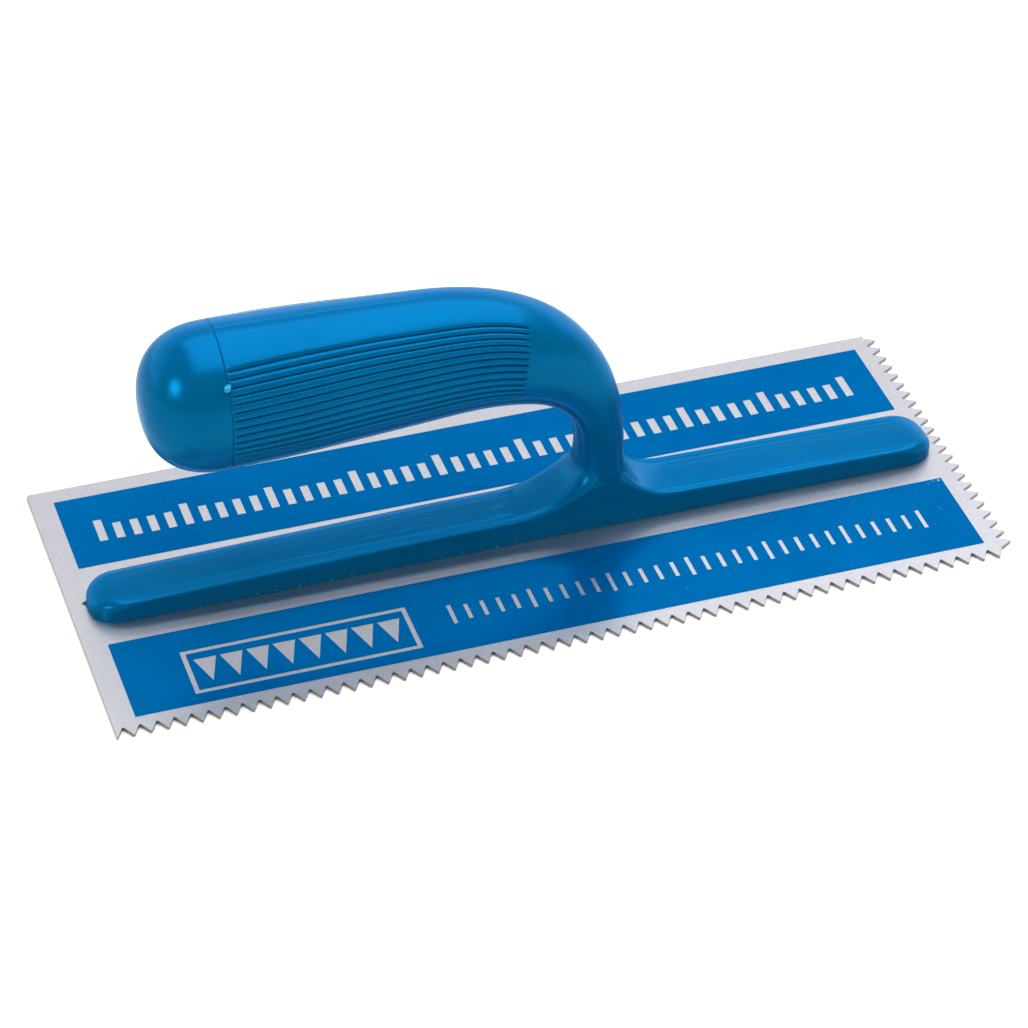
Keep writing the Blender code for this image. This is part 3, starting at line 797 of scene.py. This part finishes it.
def make_panel(name, node, holes, material):
    """A printed film: a thin sheet with its marks cut out, so that the steel shows."""
    low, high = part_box(node)
    outline = [(low.x, low.y), (high.x, low.y), (high.x, high.y), (low.x, high.y)]
    curve = bpy.data.curves.new(name, "CURVE")
    curve.dimensions = "2D"
    curve.fill_mode = "BOTH"
    curve.extrude = INK_THICKNESS / 2
    for points in [outline, *holes]:
        spline = curve.splines.new("POLY")
        spline.points.add(len(points) - 1)
        for point, (x, y) in zip(spline.points, points):
            point.co = (x, y, 0.0, 1.0)
        spline.use_cyclic_u = True
    drawn = bpy.data.objects.new(f"{name}_outline", curve)
    bpy.context.scene.collection.objects.link(drawn)
    bpy.context.view_layer.update()
    mesh = bpy.data.meshes.new_from_object(drawn.evaluated_get(bpy.context.evaluated_depsgraph_get()))
    bpy.data.objects.remove(drawn, do_unlink=True)
    shape = bmesh.new()
    shape.from_mesh(mesh)
    bmesh.ops.remove_doubles(shape, verts=shape.verts, dist=0.000005)
    bmesh.ops.recalc_face_normals(shape, faces=shape.faces)
    lift = Vector((0, 0, BLADE_TOP + INK_HEIGHT + INK_THICKNESS / 2))
    bmesh.ops.translate(shape, verts=shape.verts, vec=lift)
    shape.to_mesh(mesh)
    shape.free()
    panel = add_piece(name, mesh, material, smooth=False)
    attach(panel, "root")
    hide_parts(node)


def make_panels(material):
    """Front print with a frame of teeth and a fine scale, and rear print with a bold scale."""
    frame_x, frame_y = FRAME_CENTRE
    front = [box_mark(frame_x, frame_y, width, height) for width, height in FRAME_LINES]
    for i in range(TOOTH_COUNT):
        front.append(tooth_mark(frame_x + TOOTH_PITCH * (i - (TOOTH_COUNT - 1) / 2), frame_y, *TOOTH_SIZE))
    front += tick_marks(FRONT_SCALE, FRONT_TICKS, on_base_line=False)
    _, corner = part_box("front_panel")
    front += [chip(corner.x - x, corner.y - y, size, seed) for x, y, size, seed in CHIPS]
    front += [scratch(corner.x - x, corner.y - y, *shape) for x, y, *shape in SCRATCHES]
    front.append(chip(*LONE_CHIP))
    rear = tick_marks(REAR_SCALE, REAR_TICKS, on_base_line=True)
    make_panel("printed_front_panel", "front_panel", front, material)
    make_panel("printed_rear_panel", "rear_panel", rear, material)


# ---------------------------------------------------------------- small marks

def make_cement_bead(material):
    """A bead of cement squeezed out of the cap's seam, on the front flank."""
    shape = bmesh.new()
    bmesh.ops.create_icosphere(shape, subdivisions=4, radius=1.0)
    for vert in shape.verts:
        vert.co *= 1 + 0.30 * noise.noise(vert.co * 2.3 + Vector((4, 1, 7)))
        vert.co = Vector([part * size for part, size in zip(vert.co, BEAD_HALF_SIZES)])
    mesh = bpy.data.meshes.new("seam_cement_bead")
    shape.to_mesh(mesh)
    shape.free()
    bead = add_piece("seam_cement_bead", mesh, material)
    side, up = math.sin(BEAD_ANGLE), math.cos(BEAD_ANGLE)
    place = Vector((SEAM_X - BEAD_BACK, -GRIP_WIDTH / 2 * side, GRIP_AXIS_Z + GRIP_HEIGHT / 2 * up))
    bead.matrix_world = Matrix.Translation(place) @ Matrix.Rotation(math.atan2(up, side), 4, "X")
    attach(bead, "root")


def add_mark(name, shape, material):
    """A small piece of the moulding from a bmesh."""
    bmesh.ops.recalc_face_normals(shape, faces=shape.faces)
    mesh = bpy.data.meshes.new(name)
    shape.to_mesh(mesh)
    shape.free()
    piece = add_piece(name, mesh, material)
    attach(piece, "root")


def make_witness_mark(material):
    """A half ring standing proud of the post's front, tapering to both ends."""
    centre = Vector(WITNESS_PLACE)
    shape = bmesh.new()
    loops = []
    for i in range(WITNESS_STEPS + 1):
        turn = math.radians(mix(-8, 188, i / WITNESS_STEPS))
        out = Vector((math.cos(turn), 0, math.sin(turn)))
        thick = WITNESS_THICKNESS * (0.25 + 0.75 * math.sin(math.pi * i / WITNESS_STEPS) ** 0.5)
        loop = []
        for k in range(WITNESS_SIDES):
            way = 2 * math.pi * k / WITNESS_SIDES
            offset = out * (WITNESS_RADIUS + thick * math.cos(way)) + Vector((0, thick * math.sin(way), 0))
            loop.append(shape.verts.new(centre + offset))
        loops.append(loop)
    for near, far in zip(loops, loops[1:]):
        for k in range(WITNESS_SIDES):
            after = (k + 1) % WITNESS_SIDES
            shape.faces.new((near[k], near[after], far[after], far[k]))
    shape.faces.new(loops[0])
    shape.faces.new(loops[-1])
    add_mark("post_witness_mark", shape, material)


def make_nose_flash(material):
    """Thin ragged flash squeezed out under the left nose, with short spikes."""
    shape = bmesh.new()
    inner, outer, crest = [], [], []
    for i in range(FLASH_STEPS + 1):
        turn = math.pi * (i / FLASH_STEPS - 0.5)
        side, out = superellipse(turn, BAR_NOSE_CURVE)
        x = -BAR_HALF_LENGTH + BAR_NOSE_LENGTH * (1 - out)
        y = BAR_HALF_WIDTH * side
        ragged = 0.6 + 0.7 * noise.noise(Vector((i * 0.45, 2.0, 5.0)))
        reach = FLASH_REACH * ragged * math.cos(turn) ** 0.3
        for step, width, spike in FLASH_SPIKES:
            reach += spike * math.exp(-(((i - step) / width) ** 2))
        heading = Vector((-math.cos(turn), math.sin(turn) * 0.9)).normalized()
        in_x, in_y = x - heading.x * FLASH_INSET, y - heading.y * FLASH_INSET
        out_x, out_y = x + heading.x * reach, y + heading.y * reach
        inner.append(shape.verts.new((in_x, in_y, BAR_BASE_Z)))
        outer.append(shape.verts.new((out_x, out_y, BAR_BASE_Z + FLASH_EDGE_HEIGHT)))
        crest.append(shape.verts.new((in_x, in_y, BAR_BASE_Z + FLASH_HEIGHT)))
    for i in range(FLASH_STEPS):
        shape.faces.new((inner[i], inner[i + 1], outer[i + 1], outer[i]))
        shape.faces.new((outer[i], outer[i + 1], crest[i + 1], crest[i]))
        shape.faces.new((crest[i], crest[i + 1], inner[i + 1], inner[i]))
    shape.faces.new((inner[0], outer[0], crest[0]))
    shape.faces.new((inner[-1], outer[-1], crest[-1]))
    add_mark("left_nose_flash", shape, material)


def make_base_specks(material):
    """Crumbs of flash along the foot of the bar's front wall."""
    shape = bmesh.new()
    for i in range(SPECK_COUNT):
        x = mix(*SPECK_SPAN, (i + 0.5) / SPECK_COUNT) + 0.003 * noise.noise(Vector((i * 3.7, 1.0, 0.0)))
        size = 0.00016 + 0.00012 * noise.noise(Vector((i * 5.1, 4.0, 0.0)))
        y = -BAR_HALF_WIDTH - 0.00002
        z = BLADE_TOP + 0.0004 + 0.0008 * abs(noise.noise(Vector((i * 2.9, 7.0, 0.0))))
        placed = Matrix.Translation((x, y, z)) @ Matrix.Diagonal((1.4, 0.8, 1.0, 1.0))
        bmesh.ops.create_icosphere(shape, subdivisions=2, radius=size, matrix=placed)
    add_mark("bar_base_specks", shape, material)


# ---------------------------------------------------------------- stage

FLOOR_Z = -0.0002

CAMERA_LENS = 144.67
CAMERA_PLACE = Vector((-0.30298, -0.95362, 0.76903))
CAMERA_RIGHT = Vector((0.9524266, -0.3047400, -0.0041264))
CAMERA_UP = Vector((0.1881262, 0.5772050, 0.7946338))
CAMERA_BACK = Vector((-0.2397749, -0.7576067, 0.6070750))

# Brightness of the studio by how steeply one looks up, at the back and in front
WORLD_BACK = ((0.0, 1.0), (0.25, 0.90), (0.46, 0.50), (0.66, 0.45), (0.74, 0.08))
WORLD_FRONT = ((0.0, 0.24), (1.0, 0.10))
WORLD_TURN = 0.40
WORLD_STRENGTH = 2.1


def make_floor():
    """A wide plain floor just under the blade."""
    shape = bmesh.new()
    bmesh.ops.create_grid(shape, x_segments=8, y_segments=8, size=4.0)
    mesh = bpy.data.meshes.new("floor")
    shape.to_mesh(mesh)
    shape.free()
    floor = add_piece("floor", mesh, floor_material(), smooth=False)
    floor.location.z = FLOOR_Z


def add_light(name, place, target, size, power, colour=(1, 1, 1)):
    light = bpy.data.lights.new(name, "AREA")
    light.shape = "RECTANGLE"
    light.size, light.size_y = size
    light.energy = power
    light.color = colour
    thing = bpy.data.objects.new(name, light)
    thing.location = place
    thing.rotation_mode = "QUATERNION"
    thing.rotation_quaternion = (Vector(target) - Vector(place)).to_track_quat("-Z", "Y")
    bpy.context.scene.collection.objects.link(thing)


def make_world():
    """A studio: an overlit white sweep low at the back, a dim gap above it, and a dim room in front."""
    world = bpy.data.worlds.new("studio")
    world.use_nodes = True
    bpy.context.scene.world = world
    tree = world.node_tree
    place = tree.nodes.new("ShaderNodeTexCoord")
    parts = tree.nodes.new("ShaderNodeSeparateXYZ")
    tree.links.new(place.outputs["Generated"], parts.inputs[0])

    def ramp(stops, tint):
        node = tree.nodes.new("ShaderNodeValToRGB")
        fill_ramp(node, [(height, tuple(value * part for part in tint)) for height, value in stops])
        tree.links.new(parts.outputs["Z"], node.inputs["Fac"])
        return node.outputs["Color"]

    back = ramp(WORLD_BACK, (1, 1, 1.03))
    front = ramp(WORLD_FRONT, (1, 1, 0.72))
    to_back = tree.nodes.new("ShaderNodeMapRange")
    to_back.inputs["From Min"].default_value = 0.0
    to_back.inputs["From Max"].default_value = WORLD_TURN
    tree.links.new(parts.outputs["Y"], to_back.inputs["Value"])
    mixer = tree.nodes.new("ShaderNodeMix")
    mixer.data_type = "RGBA"
    tree.links.new(to_back.outputs["Result"], mixer.inputs["Factor"])
    tree.links.new(front, mixer.inputs["A"])
    tree.links.new(back, mixer.inputs["B"])
    tree.links.new(mixer.outputs["Result"], tree.nodes["Background"].inputs["Color"])
    tree.nodes["Background"].inputs["Strength"].default_value = WORLD_STRENGTH


def make_camera():
    camera = bpy.data.cameras.new("camera")
    camera.lens = CAMERA_LENS
    camera.sensor_width = 36
    camera.clip_start = 0.05
    thing = bpy.data.objects.new("camera", camera)
    pose = Matrix((CAMERA_RIGHT, CAMERA_UP, CAMERA_BACK)).transposed().to_4x4()
    pose.translation = CAMERA_PLACE
    thing.matrix_world = pose
    bpy.context.scene.collection.objects.link(thing)
    bpy.context.scene.camera = thing


def main():
    plastic = plastic_material()
    make_camera()
    make_handle(plastic)
    make_cap(plastic)
    make_panels(ink_material())
    cement = cement_material()
    make_cement_bead(cement)
    make_witness_mark(plastic)
    make_nose_flash(plastic)
    make_base_specks(cement)
    steel = steel_material("ground_blade_steel", (0.59, 0.592, 0.612), 0.34)
    rivet_steel = steel_material("plated_rivet_steel", (0.66, 0.66, 0.68), 0.32)
    for name, material in [("blade", steel)] + [(rivet, rivet_steel) for rivet in RIVETS]:
        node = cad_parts[name]
        for slot in node.material_slots:
            slot.material = material
    make_floor()
    make_world()
    over = (0.40, 0.07)
    add_light("overhead_softbox", (*over, 1.0), (*over, 0.0), (1.55, 1.35), 21, (0.95, 0.97, 1.06))
    add_light("left_window", (-1.10, -0.52, 0.62), (0, 0, 0), (0.40, 0.40), 4.5)
    view = bpy.context.scene.view_settings
    view.view_transform = "Standard"
    view.gamma = 0.88


main()
